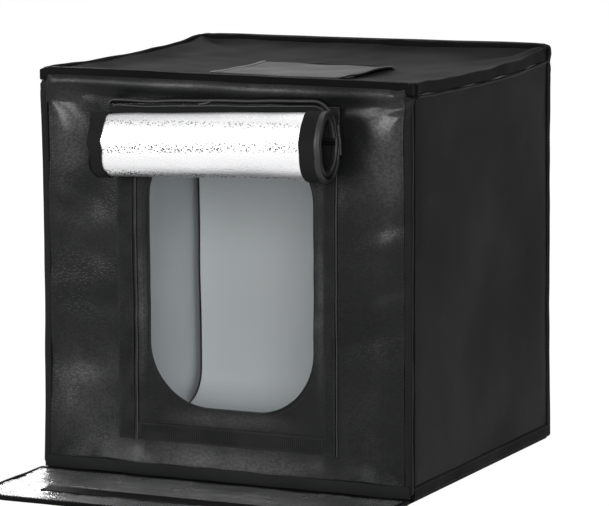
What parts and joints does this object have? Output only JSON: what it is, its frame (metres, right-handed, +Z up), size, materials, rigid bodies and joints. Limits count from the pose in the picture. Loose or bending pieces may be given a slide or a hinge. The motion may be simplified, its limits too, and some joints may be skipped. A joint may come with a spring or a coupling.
{
  "type": "light tent cube",
  "caption": "Folding light tent: leathercloth cube lined in silver, with a front window and roll-up flap, top window, backdrop, lamp strips and closing apron.",
  "frame": {"origin": "middle of the cube's footprint, on the underside of the base cover", "axes": "+Z up; the front panel with the shooting window faces -Y; +X is to the right seen from the front"},
  "size_m": [0.4, 0.508, 0.404],
  "materials": {
    "leathercloth": "black pebble-grained leathercloth, satin",
    "silver_lining": "dimpled silver reflective sheet",
    "stiff_board": "plain stiffening board",
    "foam": "grey foam",
    "binding": "black woven binding",
    "hook_tape": "black hook-and-loop tape",
    "backdrop": "smooth matte white sheet",
    "lamp_board": "white lamp board",
    "lead": "black insulated lead",
    "rubber": "black moulded rubber"
  },
  "bodies": {
    "base": {"base_cover": "leathercloth", "base_binding": "binding", "base_board": "stiff_board", "base_foam_pad": "foam", "base_lining": "silver_lining", "backdrop": "backdrop"},
    "left_wall_lower": {"left_wall_lower_lining": "silver_lining", "left_wall_lower_board": "stiff_board", "left_wall_lower_cover": "leathercloth"},
    "left_wall_upper": {"left_wall_upper_lining": "silver_lining", "left_wall_upper_board": "stiff_board", "left_wall_upper_cover": "leathercloth"},
    "right_wall_lower": {"right_wall_lower_lining": "silver_lining", "right_wall_lower_board": "stiff_board", "right_wall_lower_cover": "leathercloth"},
    "right_wall_upper": {"right_wall_upper_lining": "silver_lining", "right_wall_upper_board": "stiff_board", "right_wall_upper_cover": "leathercloth"},
    "top_panel": {"top_lining": "silver_lining", "top_board": "stiff_board", "top_cover": "leathercloth", "top_binding": "binding", "top_flap_seam_tape": "binding", "top_window_loop_left": "hook_tape", "top_window_loop_right": "hook_tape", "backdrop_rail": "hook_tape", "lamp_pad_front": "hook_tape", "lamp_pad_back": "hook_tape", "lamp_strip_front": "lamp_board", "lamp_strip_back": "lamp_board", "lamp_lead": "lead", "power_socket": "rubber"},
    "top_flap": {"top_flap_lining": "silver_lining", "top_flap_cover": "leathercloth", "top_flap_binding": "binding"},
    "front_header": {"front_header": "leathercloth"},
    "front_panel": {"front_binding": "binding", "front_cover": "leathercloth", "front_board": "stiff_board", "front_lining": "silver_lining", "window_loop_left": "hook_tape", "window_loop_right": "hook_tape", "window_loop_bottom": "hook_tape", "window_flap_seam_tape": "binding"},
    "window_flap": {"window_flap_lining": "silver_lining", "window_flap_cover": "leathercloth", "window_flap_hook_left": "hook_tape", "window_flap_hook_right": "hook_tape"},
    "back_panel": {"back_binding": "binding", "back_lining": "silver_lining", "back_board": "stiff_board", "back_cover": "leathercloth", "cable_port_grommet": "rubber"},
    "apron": {"apron_binding": "binding", "apron_cover": "leathercloth", "apron_board": "stiff_board", "apron_lining": "silver_lining", "apron_hook_tape": "hook_tape"}
  },
  "joints": [
    {"name": "side_walls_fold", "type": "hinge", "parent": "base", "child": "left_wall_lower", "pos_m": [-0.1948, 0, 0.015], "axis": [0, 1, 0], "range_deg": [0, 84], "deforming": ["backdrop"]},
    {"name": "left_wall_crease", "type": "hinge", "parent": "left_wall_lower", "child": "left_wall_upper", "pos_m": [-0.2, 0, 0.2035], "axis": [0, 1, 0], "range_deg": [-168, 0]},
    {"name": "top_level", "type": "hinge", "parent": "left_wall_upper", "child": "top_panel", "pos_m": [-0.1948, 0, 0.392], "axis": [0, 1, 0], "range_deg": [0, 84]},
    {"name": "right_wall_fold", "type": "hinge", "parent": "base", "child": "right_wall_lower", "pos_m": [0.1948, 0, 0.015], "axis": [0, 1, 0], "range_deg": [-84, 0]},
    {"name": "right_wall_crease", "type": "hinge", "parent": "right_wall_lower", "child": "right_wall_upper", "pos_m": [0.2, 0, 0.2035], "axis": [0, 1, 0], "range_deg": [0, 168]},
    {"name": "front_header_swing", "type": "hinge", "parent": "top_panel", "child": "front_header", "pos_m": [0, -0.1745, 0.404], "axis": [-1, 0, 0], "range_deg": [0, 84]},
    {"name": "front_panel_lift", "type": "hinge", "parent": "front_header", "child": "front_panel", "pos_m": [0, -0.18, 0.392], "axis": [1, 0, 0], "range_deg": [-110, 0]},
    {"name": "window_flap_swing", "type": "hinge", "parent": "front_panel", "child": "window_flap", "pos_m": [0, -0.183, 0.378], "axis": [-1, 0, 0], "range_deg": [0, 60]},
    {"name": "top_flap_lift", "type": "hinge", "parent": "top_panel", "child": "top_flap", "pos_m": [0, 0.05, 0.4007], "axis": [-1, 0, 0], "range_deg": [0, 165]},
    {"name": "back_panel_drop", "type": "hinge", "parent": "base", "child": "back_panel", "pos_m": [0, 0.18, 0], "axis": [-1, 0, 0], "range_deg": [0, 89.7]},
    {"name": "apron_lift", "type": "hinge", "parent": "base", "child": "apron", "pos_m": [0, -0.1845, 0.0037], "axis": [1, 0, 0], "range_deg": [-90, 0]}
  ],
  "couplings": [
    {"joint": "left_wall_crease", "follows": "side_walls_fold", "ratio": -2},
    {"joint": "top_level", "follows": "side_walls_fold", "ratio": 1},
    {"joint": "right_wall_fold", "follows": "side_walls_fold", "ratio": -1},
    {"joint": "right_wall_crease", "follows": "side_walls_fold", "ratio": 2},
    {"joint": "front_header_swing", "follows": "side_walls_fold", "ratio": 1}
  ]
}
